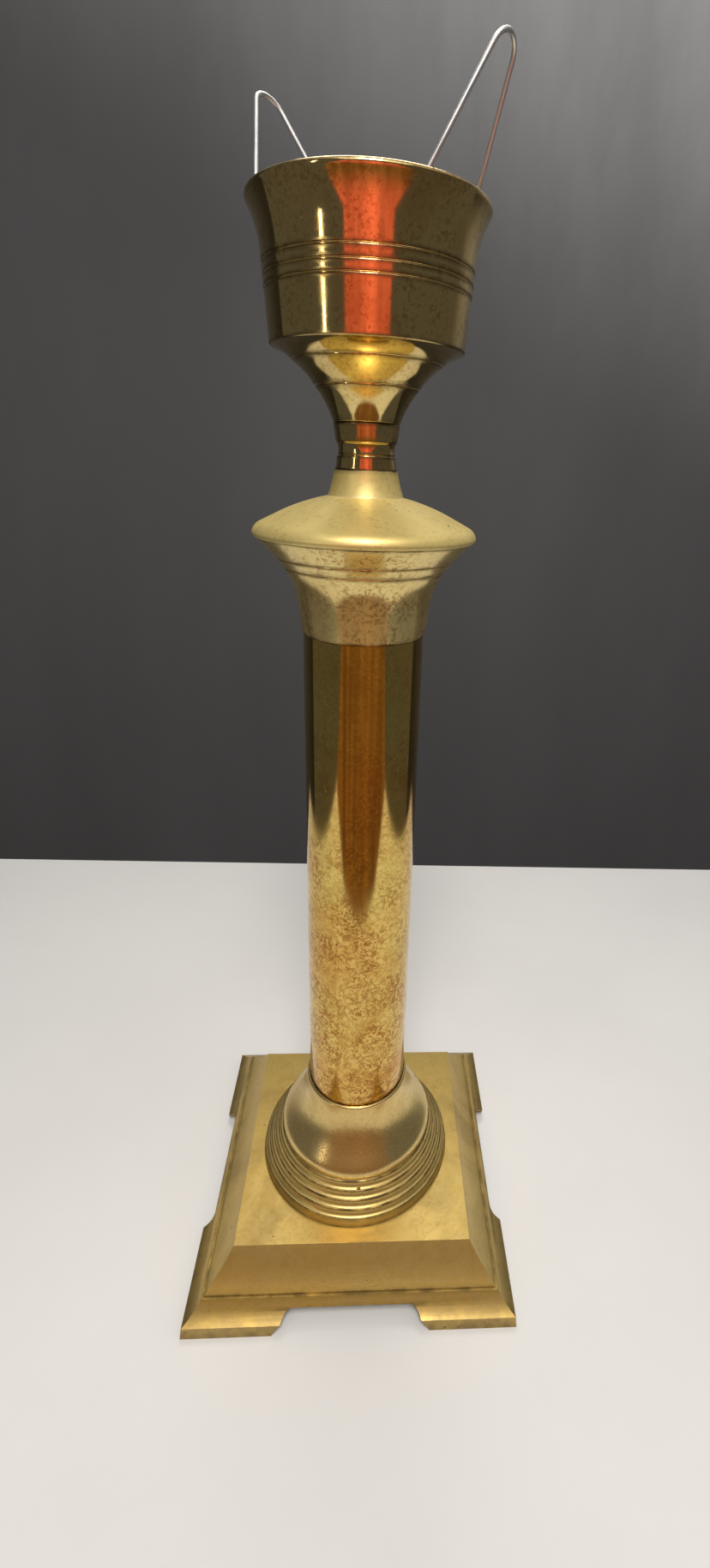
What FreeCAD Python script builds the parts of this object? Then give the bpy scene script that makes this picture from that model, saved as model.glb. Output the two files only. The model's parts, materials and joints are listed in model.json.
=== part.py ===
import FreeCAD, Part
import math
import os

# Altar candlestick: a square cast base on bracket feet, a stepped ring, a bell-shaped column
# foot, a plain tube column, a trumpet capital, a domed disc, a waisted neck and a cup, all
# clamped by one threaded rod. A liner with two wire bails lifts out of the cup.
# Millimetres, +Z up, origin on the table under the middle of the base.

Vector = FreeCAD.Vector
UP = Vector(0, 0, 1)

os.makedirs("parts", exist_ok=True)

# ---- driving sizes -------------------------------------------------------------------

# Square base
base_width = 162.8
foot_length = 43.0
foot_edge_height = 6.3
foot_edge_lean = 0.7
foot_wall = 4.6
flare_run = 8.3
flare_rise = 7.3
flare_sag = 0.6
quirk_run = 1.0
quirk_rise = 0.9
slope_run = 12.6
slope_rise = 15.9
slope_sag = 0.8
moulding_wall = 4.2
plate_thickness = 4.4
arch_height = 10.2
arch_lean = 7.0
arch_corner = 6.0

# Stepped ring
ring_margin = 7.0
ring_first_rise = 4.9
ring_lean = 0.9
ring_steps = 4
ring_step_run = 2.45
ring_step_rise = 3.5
ring_edge = 0.4
ring_web = 4.0
ring_recess_wall = 4.7
register_radius = 20.0
register_depth = 3.0

# Bell-shaped foot of the column
column_foot_height = 34.3
column_foot_inset = 0.4
column_foot_quirk = 1.0
column_foot_wall = 3.6
column_lip = 1.6
column_lip_rise = 1.0
column_socket_depth = 6.2

# Column tube
column_diameter = 50.8
column_wall = 1.5
column_visible_length = 244.7

# Capital
capital_height = 38.1
capital_top_radius = 43.0
capital_wall = 3.2
capital_step = 0.4
capital_register_wall = 7.1
capital_spigot_depth = 8.0
capital_line_heights = (26.4, 30.4)

# Domed disc with its stem
disc_radius = 44.6
disc_edge_height = 1.9
disc_crown_height = 15.8
disc_wall = 4.5
disc_under_round = 0.3
disc_register_depth = 2.5
stem_foot_radius = 15.0
stem_top_radius = 12.4
stem_height = 9.8
stem_sag = 0.3

# Waisted neck between stem and cup
neck_height = 16.6
neck_waist_radius = 10.9
neck_low_radius = 11.8
neck_bead_radius = 12.0
neck_top_radius = 12.8
neck_line_height = 5.2
neck_bead_height = 10.0
neck_bead_round = 0.7
neck_foot_rise = 1.5
neck_spigot_radius = 7.6
neck_spigot_depth = 3.0

# Cup
cup_rim_radius = 42.5
cup_flare_run = 4.5
cup_taper_run = 2.2
cup_height = 69.1
cup_bowl_height = 24.4
cup_flare_start = 52.4
cup_lip_height = 1.8
cup_lip_wall = 1.5
cup_wall = 2.0
cup_floor_height = 9.4
cup_floor_radius = 11.0
cup_bowl_wall = 5.4
cup_ledge_width = 4.0
cup_ledge_height = 3.4
cup_line_heights = (41.6, 45.2, 49.1)
bowl_line_heights = (12.1, 20.3)
bowl_line_radii = (19.6, 27.9)
bowl_sag = 0.5
flare_hollow = 0.9
line_radius = 0.45
edge_break = 0.4

# Tie rod and its fasteners (M8)
rod_diameter = 8.0
rod_end_projection = 3.6
nut_across_flats = 13.0
nut_thickness = 6.5
base_washer_radius = 26.0
base_washer_thickness = 2.0
spring_washer_radius = 7.0
spring_washer_thickness = 2.0
spring_washer_gap = 1.2
cup_washer_radius = 9.0
cup_washer_thickness = 1.6

# Lift-out liner for a candle
candle_diameter = 50.8
candle_clearance = 0.5
liner_wall = 0.9
liner_tray_thickness = 1.2
liner_rim_bead = 0.9
liner_below_rim = 1.8

# Wire bails and their lugs
wire_diameter = 1.6
bail_lean = 26.0
bail_foot_bend = 2.4
bail_shoulder_bend = 8.0
bail_top_bend = 6.4
bail_end_gap = 1.5
left_bail_azimuth = 138.5
right_bail_azimuth = -36.0
left_bail_reach = 52.8
right_bail_reach = 46.8
right_bail_half_width = 15.6
hinge_below_rim = 5.9
hinge_stand_off = 2.7
barrel_wall = 1.3
barrel_half_length = 12.0
lug_half_width = 10.0
lug_height = 12.4
lug_thickness = 2.0
rivet_radius = 1.2
rivet_head_radius = 2.2
rivet_head_height = 1.1
rivet_spacing = 10.0
rivet_height = 4.6

# Clearances
register_clearance = 0.1
rod_clearance = 0.3
thread_clearance = 0.05
rivet_clearance = 0.03
liner_clearance = 0.35
wire_clearance = 0.08
lean_clearance = 0.3

# ---- sizes that follow ---------------------------------------------------------------

base_half = base_width / 2
foot_top_half = base_half - foot_edge_lean
flare_top_half = foot_top_half - flare_run
slope_foot_half = flare_top_half - quirk_run
plate_half = slope_foot_half - slope_run
flare_top = foot_edge_height + flare_rise
slope_foot = flare_top + quirk_rise
plate_top = slope_foot + slope_rise
plate_bottom = plate_top - plate_thickness

ring_radius = plate_half - ring_margin
ring_first_edge = ring_radius - ring_lean
ring_top_radius = ring_first_edge - ring_steps * ring_step_run
ring_top = plate_top + ring_first_rise + ring_steps * ring_step_rise
ring_recess_radius = ring_top_radius - ring_recess_wall

column_radius = column_diameter / 2
column_foot_radius = ring_top_radius - column_foot_inset
column_foot_top = ring_top + column_foot_height
column_seat = column_foot_top - column_socket_depth
capital_seat = column_foot_top + column_visible_length
capital_foot_radius = column_radius + capital_step
capital_spigot_radius = column_radius - column_wall - register_clearance

disc_seat = capital_seat + capital_height
disc_register_radius = capital_top_radius - capital_register_wall - register_clearance
disc_crown = disc_seat + disc_crown_height
neck_seat = disc_crown + stem_height
cup_seat = neck_seat + neck_height
cup_rim = cup_seat + cup_height

cup_flare_radius = cup_rim_radius - cup_flare_run
cup_bowl_radius = cup_flare_radius - cup_taper_run
cup_bowl_top = cup_seat + cup_bowl_height
cup_floor = cup_seat + cup_floor_height
cup_ledge = cup_bowl_top + cup_ledge_height
cup_ledge_radius = cup_bowl_radius - cup_wall + edge_break
cup_lip_inner = cup_rim_radius - cup_lip_wall

rod_radius = rod_diameter / 2
rod_hole = rod_radius + rod_clearance
spring_washer_top = plate_bottom - base_washer_thickness
base_nut_top = spring_washer_top - spring_washer_thickness
base_nut_bottom = base_nut_top - nut_thickness
cup_nut_bottom = cup_floor + cup_washer_thickness
cup_nut_top = cup_nut_bottom + nut_thickness

liner_bore = candle_diameter / 2 + candle_clearance
liner_radius = liner_bore + liner_wall
liner_top = cup_rim - liner_below_rim

wire_radius = wire_diameter / 2
hinge_height = cup_rim - hinge_below_rim
hinge_radius = liner_radius + hinge_stand_off
lug_bottom = hinge_height - lug_height
barrel_radius = wire_radius + wire_clearance + barrel_wall
lean = math.radians(bail_lean)
rim_crossing = hinge_radius + hinge_below_rim * math.tan(lean)
leaning_radius = cup_lip_inner - wire_radius - lean_clearance
left_bail_half_width = math.sqrt(leaning_radius ** 2 - rim_crossing ** 2)


# ---- shared shapes -------------------------------------------------------------------

def at(radius, height):
    return Vector(radius, 0, height)


def lines(*points):
    edges = []
    for start, end in zip(points, points[1:]):
        edges.append(Part.makeLine(start, end))
    return edges


def arc(start, middle, end):
    return [Part.Arc(start, middle, end).toShape()]


def curve(*points):
    spline = Part.BSplineCurve()
    spline.interpolate(list(points))
    return [spline.toShape()]


# A shallow arc that stands "sag" outside the straight way up from start to end.
def sagged(start, end, sag):
    along = (end - start).normalize()
    outside = Vector(0, 1, 0).cross(along)
    return arc(start, (start + end) * 0.5 + outside * sag, end)


# The points of a profile, from marks that give each one's share of the way up and outwards.
def profile(foot_radius, top_radius, bottom, top, marks):
    points = []
    for rise, share in marks:
        radius = foot_radius + (top_radius - foot_radius) * share
        points.append(at(radius, bottom + (top - bottom) * rise))
    return points


def turned(edges):
    return Part.Face(Part.Wire(edges)).revolve(Vector(0, 0, 0), UP, 360)


def cylinder(radius, bottom, top):
    return Part.makeCylinder(radius, top - bottom, Vector(0, 0, bottom))


def tube(outer, inner, bottom, top):
    return cylinder(outer, bottom, top).cut(cylinder(inner, bottom, top))


# A groove of round section turned into a surface of this radius.
def turned_line(radius, height):
    return Part.makeTorus(radius, line_radius, Vector(0, 0, height))


def radius_between(low, high, height):
    return low.x + (high.x - low.x) * (height - low.z) / (high.z - low.z)


# Straight runs joined by tangent arcs, one radius for each inner point.
def rounded_path(points, radii):
    edges = []
    start = points[0]
    for index, radius in enumerate(radii):
        corner = points[index + 1]
        back = (points[index] - corner).normalize()
        ahead = (points[index + 2] - corner).normalize()
        half_angle = back.getAngle(ahead) / 2
        reach = radius / math.tan(half_angle)
        middle = (back + ahead).normalize() * (radius / math.sin(half_angle) - radius)
        arc_start = corner + back * reach
        arc_end = corner + ahead * reach
        edges += lines(start, arc_start)
        edges += arc(arc_start, corner + middle, arc_end)
        start = arc_end
    return edges + lines(start, points[-1])


# ---- base ----------------------------------------------------------------------------

# A half section pushed both ways across the base and crossed with itself, so that its
# corners are mitred.
def square_solid(half_section):
    span = base_width
    half = Part.Face(Part.Wire(half_section)).extrude(Vector(0, 2 * span, 0))
    half.translate(Vector(0, -span, 0))
    across = half.fuse(half.mirror(Vector(0, 0, 0), Vector(1, 0, 0))).removeSplitter()
    along = across.copy()
    along.rotate(Vector(0, 0, 0), UP, 90)
    return across.common(along).removeSplitter()


def arch_cutter():
    foot = base_half - foot_length
    crown = foot - arch_lean
    slant = arch_lean / arch_height
    low = -arch_height
    outline = [
        at(-foot + slant * low, low),
        at(-crown, arch_height),
        at(crown, arch_height),
        at(foot - slant * low, low),
    ]
    edges = rounded_path(outline, [arch_corner, arch_corner])
    edges += lines(outline[-1], outline[0])
    cutter = Part.Face(Part.Wire(edges)).extrude(Vector(0, 2 * base_width, 0))
    cutter.translate(Vector(0, -base_width, 0))
    return cutter


def base_casting():
    foot_top = at(foot_top_half, foot_edge_height)
    flare_end = at(flare_top_half, flare_top)
    slope_start = at(slope_foot_half, slope_foot)
    plate_edge = at(plate_half, plate_top)
    outside = lines(at(0, 0), at(base_half, 0), foot_top)
    outside += sagged(foot_top, flare_end, -flare_sag)
    outside += lines(flare_end, at(slope_foot_half, flare_top), slope_start)
    outside += sagged(slope_start, plate_edge, -slope_sag)
    outside += lines(plate_edge, at(0, plate_top), at(0, 0))
    inside_foot = base_half - foot_wall
    inside = lines(
        at(0, 0),
        at(inside_foot, 0),
        at(inside_foot, foot_edge_height / 2),
        at(slope_foot_half - moulding_wall, flare_top),
        at(plate_half - moulding_wall, plate_bottom),
        at(0, plate_bottom),
        at(0, 0),
    )
    shape = square_solid(outside).cut(square_solid(inside))
    arch = arch_cutter()
    shape = shape.cut(arch)
    arch.rotate(Vector(0, 0, 0), UP, 90)
    shape = shape.cut(arch)
    return shape.cut(cylinder(register_radius + register_clearance, plate_bottom, plate_top))


# ---- turned brass from the base up ---------------------------------------------------

# Each step is a small flat, a hollow, and the next step's bevelled edge.
def step_edges(radius, height):
    next_radius = radius - ring_step_run
    next_height = height + ring_step_rise
    flat_end = at(radius - 1.5 * ring_edge, height)
    hollow_top = at(next_radius + ring_edge / 2, next_height - ring_edge)
    corner = at(hollow_top.x, height)
    hollow_middle = corner + (flat_end - corner) * 0.29 + (hollow_top - corner) * 0.29
    edges = lines(at(radius - ring_edge, height), flat_end)
    edges += arc(flat_end, hollow_middle, hollow_top)
    edges += lines(hollow_top, at(next_radius - ring_edge, next_height))
    return edges


def stepped_ring():
    hole = rod_hole + register_clearance
    spigot_bottom = plate_top - register_depth
    first_height = plate_top + ring_first_rise
    edges = lines(
        at(hole, spigot_bottom),
        at(register_radius, spigot_bottom),
        at(register_radius, plate_top),
        at(ring_radius, plate_top),
        at(ring_first_edge, first_height - ring_edge),
        at(ring_first_edge - ring_edge, first_height),
    )
    for step in range(ring_steps):
        edges += step_edges(ring_first_edge - step * ring_step_run, first_height + step * ring_step_rise)
    edges += lines(
        at(ring_top_radius - ring_edge, ring_top),
        at(ring_recess_radius + register_clearance, ring_top),
        at(ring_recess_radius + register_clearance, plate_top + ring_web),
        at(hole, plate_top + ring_web),
        at(hole, spigot_bottom),
    )
    return turned(edges)


# A short roll at the bottom that sweeps in to an almost upright collar.
def column_foot():
    spigot_bottom = ring_top - register_depth
    lip_radius = column_radius + column_lip
    lip_bottom = column_foot_top - column_lip_rise
    socket = column_radius + register_clearance
    ledge = column_radius - column_foot_wall
    quirk_top = ring_top + column_foot_quirk
    spigot_inside = ring_recess_radius - column_foot_wall
    marks = (
        (0.0, 0.0),
        (0.1, 0.03),
        (0.2, 0.19),
        (0.33, 0.44),
        (0.48, 0.68),
        (0.64, 0.85),
        (0.82, 0.96),
        (1.0, 1.0),
    )
    bell = profile(column_foot_radius, lip_radius, quirk_top, lip_bottom, marks)
    edges = lines(
        at(spigot_inside, spigot_bottom),
        at(ring_recess_radius, spigot_bottom),
        at(ring_recess_radius, ring_top),
        at(column_foot_radius, ring_top),
        bell[0],
    )
    edges += curve(*bell)
    lip_round = at(lip_radius - column_lip / 4, column_foot_top - column_lip_rise / 4)
    edges += arc(bell[-1], lip_round, at(socket + column_lip / 3, column_foot_top))
    edges += lines(
        at(socket + column_lip / 3, column_foot_top),
        at(socket, column_foot_top),
        at(socket, column_seat),
        at(ledge, column_seat),
        at(ledge, column_seat - column_foot_wall),
        at(spigot_inside, quirk_top),
        at(spigot_inside, spigot_bottom),
    )
    return turned(edges)


def column_tube():
    return tube(column_radius, column_radius - column_wall, column_seat, capital_seat)


def capital():
    spigot_bottom = capital_seat - capital_spigot_depth
    spigot_bore = capital_spigot_radius - capital_wall
    marks = ((0.0, 0.0), (0.294, 0.093), (0.57, 0.256), (0.766, 0.541), (0.885, 0.78), (1.0, 1.0))
    trumpet = profile(capital_foot_radius, capital_top_radius, capital_seat, disc_seat, marks)
    register = disc_register_radius + register_clearance
    register_floor = disc_seat - 2 * disc_register_depth
    edges = lines(
        at(spigot_bore, spigot_bottom),
        at(capital_spigot_radius, spigot_bottom),
        at(capital_spigot_radius, capital_seat),
        trumpet[0],
    )
    edges += curve(*trumpet)
    edges += lines(
        trumpet[-1],
        at(register, disc_seat),
        at(register, register_floor),
        at(register - 2 * capital_wall, register_floor),
        at(spigot_bore, trumpet[1].z),
        at(spigot_bore, spigot_bottom),
    )
    shape = turned(edges)
    outside = Part.Wire(curve(*trumpet))
    for height in capital_line_heights:
        level = capital_seat + height
        nearest = outside.distToShape(Part.makeLine(at(0, level), at(disc_radius, level)))[1][0][0]
        shape = shape.cut(turned_line(nearest.x, level))
    return shape


def domed_disc():
    register_bottom = disc_seat - disc_register_depth
    edge_height = disc_seat + disc_edge_height
    marks = ((0.0, 0.0), (0.165, 0.044), (0.295, 0.142), (0.62, 0.453), (0.856, 0.747), (1.0, 1.0))
    dome = profile(disc_radius, stem_foot_radius, edge_height, disc_crown, marks)
    under_edge = at(capital_top_radius + capital_step, disc_seat)
    under_round = (under_edge + dome[0]) * 0.5 + at(disc_under_round, -disc_under_round)
    stem_top = at(stem_top_radius, neck_seat)
    socket = neck_spigot_radius + register_clearance
    socket_floor = neck_seat - neck_spigot_depth - register_clearance
    hollow = disc_register_radius - disc_wall
    hollow_top = disc_crown - disc_wall
    edges = lines(
        at(hollow, register_bottom),
        at(disc_register_radius, register_bottom),
        at(disc_register_radius, disc_seat),
        under_edge,
    )
    edges += arc(under_edge, under_round, dome[0])
    edges += curve(*dome)
    edges += sagged(dome[-1], stem_top, -stem_sag)
    edges += lines(
        stem_top,
        at(socket, neck_seat),
        at(socket, socket_floor),
        at(rod_hole, socket_floor),
        at(rod_hole, hollow_top),
        at(stem_foot_radius - disc_wall, hollow_top),
        at(hollow, disc_seat + disc_wall),
        at(hollow, register_bottom),
    )
    return turned(edges)


def neck_collar():
    spigot_bottom = neck_seat - neck_spigot_depth
    socket = neck_spigot_radius + register_clearance
    socket_floor = cup_seat - neck_spigot_depth - register_clearance
    line = at(neck_waist_radius + edge_break, neck_seat + neck_line_height)
    bead = neck_seat + neck_bead_height
    waist = at(neck_waist_radius, (line.z + bead) / 2)
    bead_foot = at(neck_waist_radius + edge_break, bead - neck_bead_round)
    bead_edge = at(neck_bead_radius, bead + neck_bead_round)
    edges = lines(
        at(rod_hole, spigot_bottom),
        at(neck_spigot_radius, spigot_bottom),
        at(neck_spigot_radius, neck_seat),
        at(stem_top_radius - edge_break, neck_seat),
        at(neck_low_radius, neck_seat + neck_foot_rise),
        line,
    )
    edges += arc(line, waist, bead_foot)
    edges += lines(
        bead_foot,
        at(neck_bead_radius - edge_break / 2, bead),
        bead_edge,
        at(neck_top_radius, cup_seat - edge_break),
        at(neck_top_radius - edge_break, cup_seat),
        at(socket, cup_seat),
        at(socket, socket_floor),
        at(rod_hole, socket_floor),
        at(rod_hole, spigot_bottom),
    )
    return turned(edges).cut(turned_line(line.x, line.z))


def candle_cup():
    spigot_bottom = cup_seat - neck_spigot_depth
    bowl_foot = at(neck_top_radius, cup_seat + edge_break)
    low_line = at(bowl_line_radii[0], cup_seat + bowl_line_heights[0])
    high_line = at(bowl_line_radii[1], cup_seat + bowl_line_heights[1])
    bowl_edge = at(cup_bowl_radius - edge_break, cup_bowl_top)
    wall_foot = at(cup_bowl_radius, cup_bowl_top + edge_break)
    flare_foot = at(cup_flare_radius, cup_seat + cup_flare_start)
    lip_low = at(cup_rim_radius, cup_rim - cup_lip_height)
    lip_top = at(cup_rim_radius - cup_lip_wall / 2, cup_rim)
    lip_inside = at(cup_lip_inner, cup_rim - cup_lip_height)
    flare_inside = flare_foot - at(cup_wall, 0)
    ledge_outer = at(cup_ledge_radius, cup_ledge)
    edges = lines(
        at(rod_hole, spigot_bottom),
        at(neck_spigot_radius, spigot_bottom),
        at(neck_spigot_radius, cup_seat),
        at(neck_top_radius - edge_break, cup_seat),
        bowl_foot,
    )
    edges += sagged(bowl_foot, low_line, -bowl_sag)
    edges += sagged(low_line, high_line, -bowl_sag)
    edges += sagged(high_line, bowl_edge, -bowl_sag)
    edges += lines(bowl_edge, wall_foot, flare_foot)
    edges += sagged(flare_foot, lip_low, -flare_hollow)
    edges += arc(lip_low, at(lip_low.x - edge_break / 2, cup_rim - edge_break), lip_top)
    edges += arc(lip_top, at(lip_inside.x + edge_break / 2, cup_rim - edge_break), lip_inside)
    edges += sagged(flare_inside, lip_inside, -flare_hollow)
    edges += lines(
        flare_inside,
        ledge_outer,
        at(cup_ledge_radius - cup_ledge_width, cup_ledge),
        high_line + at(0, cup_bowl_wall),
        low_line + at(0, cup_bowl_wall),
        at(cup_floor_radius, cup_floor),
        at(rod_hole, cup_floor),
        at(rod_hole, spigot_bottom),
    )
    shape = turned(edges)
    for height in cup_line_heights:
        level = cup_seat + height
        shape = shape.cut(turned_line(radius_between(wall_foot, flare_foot, level), level))
    for crease in (low_line, high_line):
        shape = shape.cut(turned_line(crease.x, crease.z))
    return shape


# ---- rod and fasteners ---------------------------------------------------------------

def tie_rod():
    return cylinder(rod_radius, base_nut_bottom - rod_end_projection, cup_nut_top + rod_end_projection)


def hex_nut(bottom):
    corner = nut_across_flats / math.sqrt(3)
    outline = []
    for side in range(7):
        turn = math.radians(60 * side)
        outline.append(Vector(corner * math.cos(turn), corner * math.sin(turn), bottom))
    prism = Part.Face(Part.makePolygon(outline)).extrude(UP * nut_thickness)
    bevel = (corner - nut_across_flats / 2) * 0.6
    crown = turned(lines(
        at(0, bottom),
        at(corner - 2 * bevel, bottom),
        at(corner, bottom + bevel),
        at(corner, bottom + nut_thickness - bevel),
        at(corner - 2 * bevel, bottom + nut_thickness),
        at(0, bottom + nut_thickness),
        at(0, bottom),
    ))
    return prism.common(crown).cut(cylinder(rod_radius + thread_clearance, bottom, bottom + nut_thickness))


def base_nut():
    return hex_nut(base_nut_bottom)


def cup_nut():
    return hex_nut(cup_nut_bottom)


def base_washer():
    return tube(base_washer_radius, rod_hole, spring_washer_top, plate_bottom)


def base_spring_washer():
    ring = tube(spring_washer_radius, rod_hole, base_nut_top, spring_washer_top)
    slot = Part.makeBox(spring_washer_radius, spring_washer_gap, spring_washer_thickness)
    slot.translate(Vector(0, -spring_washer_gap / 2, base_nut_top))
    return ring.cut(slot)


def cup_washer():
    return tube(cup_washer_radius, rod_hole, cup_floor, cup_nut_bottom)


# ---- liner and its bails -------------------------------------------------------------

def outward(azimuth):
    turn = math.radians(azimuth)
    return Vector(math.cos(turn), math.sin(turn), 0)


def rivet_starts(azimuth):
    across = UP.cross(outward(azimuth))
    height = UP * (lug_bottom + rivet_height)
    return [height - across * (rivet_spacing / 2), height + across * (rivet_spacing / 2)]


def cut_rivet_holes(shape, azimuths):
    for azimuth in azimuths:
        for start in rivet_starts(azimuth):
            hole = Part.makeCylinder(rivet_radius + rivet_clearance, hinge_radius, start, outward(azimuth))
            shape = shape.cut(hole)
    return shape


def liner():
    tray_top = cup_ledge + liner_tray_thickness
    tray_radius = cup_ledge_radius - liner_clearance
    bead_height = liner_top - liner_rim_bead
    edges = lines(
        at(0, cup_ledge),
        at(tray_radius, cup_ledge),
        at(tray_radius, tray_top),
        at(liner_radius, tray_top),
        at(liner_radius, bead_height),
    )
    edges += arc(
        at(liner_radius, bead_height),
        at(liner_radius + liner_rim_bead, bead_height + liner_rim_bead / 3),
        at(liner_radius, liner_top),
    )
    edges += lines(
        at(liner_radius, liner_top),
        at(liner_bore, bead_height),
        at(liner_bore, tray_top),
        at(0, tray_top),
        at(0, cup_ledge),
    )
    return cut_rivet_holes(turned(edges), (left_bail_azimuth, right_bail_azimuth))


# Shorter than the bail is wide, so that the wire can turn into each end.
def barrel_half(half_width):
    return min(barrel_half_length, half_width - bail_foot_bend - wire_radius)


def bail_lug(azimuth, half_width):
    plate_front = liner_radius + lug_thickness
    plate = Part.makeBox(lug_thickness * 2.5, 2 * lug_half_width, lug_height)
    plate.translate(Vector(plate_front - lug_thickness * 2.5, -lug_half_width, lug_bottom))
    length = 2 * barrel_half(half_width)
    barrel_end = Vector(hinge_radius, -length / 2, hinge_height)
    barrel = Part.makeCylinder(barrel_radius, length, barrel_end, Vector(0, 1, 0))
    shape = plate.fuse(barrel).removeSplitter()
    shape = shape.cut(cylinder(liner_radius, lug_bottom, liner_top))
    shape = shape.cut(Part.makeCylinder(wire_radius + wire_clearance, length, barrel_end, Vector(0, 1, 0)))
    shape.rotate(Vector(0, 0, 0), UP, azimuth)
    return cut_rivet_holes(shape, (azimuth,))


# Four rivets: round heads outside, shanks dressed flush with the liner's bore.
def lug_rivets():
    head_seat = liner_radius + lug_thickness
    head_top = head_seat + rivet_head_height
    dome_radius = (rivet_head_radius ** 2 + rivet_head_height ** 2) / (2 * rivet_head_height)
    rivets = []
    for azimuth in (left_bail_azimuth, right_bail_azimuth):
        out = outward(azimuth)
        for start in rivet_starts(azimuth):
            shank = Part.makeCylinder(rivet_radius, head_seat, start, out)
            dome = Part.makeSphere(dome_radius, start + out * (head_top - dome_radius))
            head = Part.makeCylinder(rivet_head_radius, rivet_head_height, start + out * head_seat, out)
            rivet = shank.fuse(dome.common(head))
            rivets.append(rivet.cut(cylinder(liner_bore, cup_ledge, liner_top)))
    return Part.makeCompound(rivets)


# Height of the point where the two legs of a hairpin would meet, above its shoulders.
def meeting_height(half_width, rise):
    centre = rise - bail_top_bend
    slant = math.atan2(half_width, centre) - math.asin(bail_top_bend / math.hypot(half_width, centre))
    return half_width / math.tan(slant)


def bail(azimuth, half_width, reach):
    out = outward(azimuth)
    across = UP.cross(out)
    upward = UP * math.cos(lean) + out * math.sin(lean)
    pivot = out * hinge_radius + UP * hinge_height
    shoulder = hinge_below_rim / math.cos(lean)
    meeting = shoulder + meeting_height(half_width, reach - shoulder)
    places = [
        (bail_end_gap, 0),
        (half_width, 0),
        (half_width, shoulder),
        (0, meeting),
        (-half_width, shoulder),
        (-half_width, 0),
        (-bail_end_gap, 0),
    ]
    points = [pivot + across * aside + upward * rise for aside, rise in places]
    bends = [bail_foot_bend, bail_shoulder_bend, bail_top_bend, bail_shoulder_bend, bail_foot_bend]
    path = Part.Wire(rounded_path(points, bends))
    section = Part.Wire(Part.makeCircle(wire_radius, points[0], across))
    return path.makePipeShell([section], True, False)


# ---- every piece ---------------------------------------------------------------------

pieces = {
    "base_casting": base_casting(),
    "stepped_ring": stepped_ring(),
    "column_foot": column_foot(),
    "column_tube": column_tube(),
    "capital": capital(),
    "domed_disc": domed_disc(),
    "neck_collar": neck_collar(),
    "candle_cup": candle_cup(),
    "tie_rod": tie_rod(),
    "base_washer": base_washer(),
    "base_spring_washer": base_spring_washer(),
    "base_nut": base_nut(),
    "cup_washer": cup_washer(),
    "cup_nut": cup_nut(),
    "liner": liner(),
    "left_bail_lug": bail_lug(left_bail_azimuth, left_bail_half_width),
    "right_bail_lug": bail_lug(right_bail_azimuth, right_bail_half_width),
    "lug_rivets": lug_rivets(),
    "left_bail": bail(left_bail_azimuth, left_bail_half_width, left_bail_reach),
    "right_bail": bail(right_bail_azimuth, right_bail_half_width, right_bail_reach),
}

for name, shape in pieces.items():
    shape.exportStep("parts/" + name + ".step")
    print(name, "solids", len(shape.Solids), "valid", shape.isValid(), "volume", round(shape.Volume))
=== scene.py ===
import json
import math

import bmesh
import bpy
from mathutils import Matrix, Vector
from mathutils.kdtree import KDTree


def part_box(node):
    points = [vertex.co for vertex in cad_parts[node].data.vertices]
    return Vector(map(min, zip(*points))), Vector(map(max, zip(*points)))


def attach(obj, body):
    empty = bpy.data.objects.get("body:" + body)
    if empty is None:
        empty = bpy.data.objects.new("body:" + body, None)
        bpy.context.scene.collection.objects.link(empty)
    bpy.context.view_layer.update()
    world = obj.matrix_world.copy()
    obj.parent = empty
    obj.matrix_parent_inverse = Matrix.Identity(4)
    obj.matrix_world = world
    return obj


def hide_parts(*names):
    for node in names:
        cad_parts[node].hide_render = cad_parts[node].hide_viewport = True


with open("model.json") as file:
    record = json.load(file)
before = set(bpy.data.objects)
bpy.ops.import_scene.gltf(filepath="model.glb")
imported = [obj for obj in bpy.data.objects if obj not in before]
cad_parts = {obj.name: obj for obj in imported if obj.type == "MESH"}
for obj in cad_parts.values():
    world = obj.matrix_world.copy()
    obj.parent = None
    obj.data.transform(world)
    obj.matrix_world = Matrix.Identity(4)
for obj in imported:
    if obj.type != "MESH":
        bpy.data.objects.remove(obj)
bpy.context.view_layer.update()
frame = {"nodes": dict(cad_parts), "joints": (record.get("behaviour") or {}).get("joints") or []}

nodes = frame["nodes"]
joints = {joint["name"]: joint for joint in frame["joints"]}
mm = 0.001


# small helpers for node trees

def add(tree, kind, inputs=None, **settings):
    node = tree.nodes.new(kind)
    for name, value in settings.items():
        setattr(node, name, value)
    for name, value in (inputs or {}).items():
        if isinstance(value, bpy.types.NodeSocket):
            tree.links.new(value, node.inputs[name])
        else:
            node.inputs[name].default_value = value
    return node


def maths(tree, operation, first, second=0.0, clamp=False):
    node = add(tree, "ShaderNodeMath", {0: first, 1: second}, operation=operation, use_clamp=clamp)
    return node.outputs[0]


def noise(tree, place, scale, detail=4.0, roughness=0.5, distortion=0.0):
    inputs = {"Vector": place, "Scale": scale, "Detail": detail, "Roughness": roughness,
              "Distortion": distortion}
    return add(tree, "ShaderNodeTexNoise", inputs).outputs["Fac"]


def between(tree, value, low, high, start=0.0, end=1.0):
    inputs = {"Value": value, "From Min": low, "From Max": high, "To Min": start, "To Max": end}
    node = add(tree, "ShaderNodeMapRange", inputs, clamp=True, interpolation_type="SMOOTHSTEP")
    return node.outputs["Result"]


# where a colour mix has its sockets: those of the other kinds of mix come between them
mixSockets = {"amount": 0, "first": 6, "second": 7, "result": 2}


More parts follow.
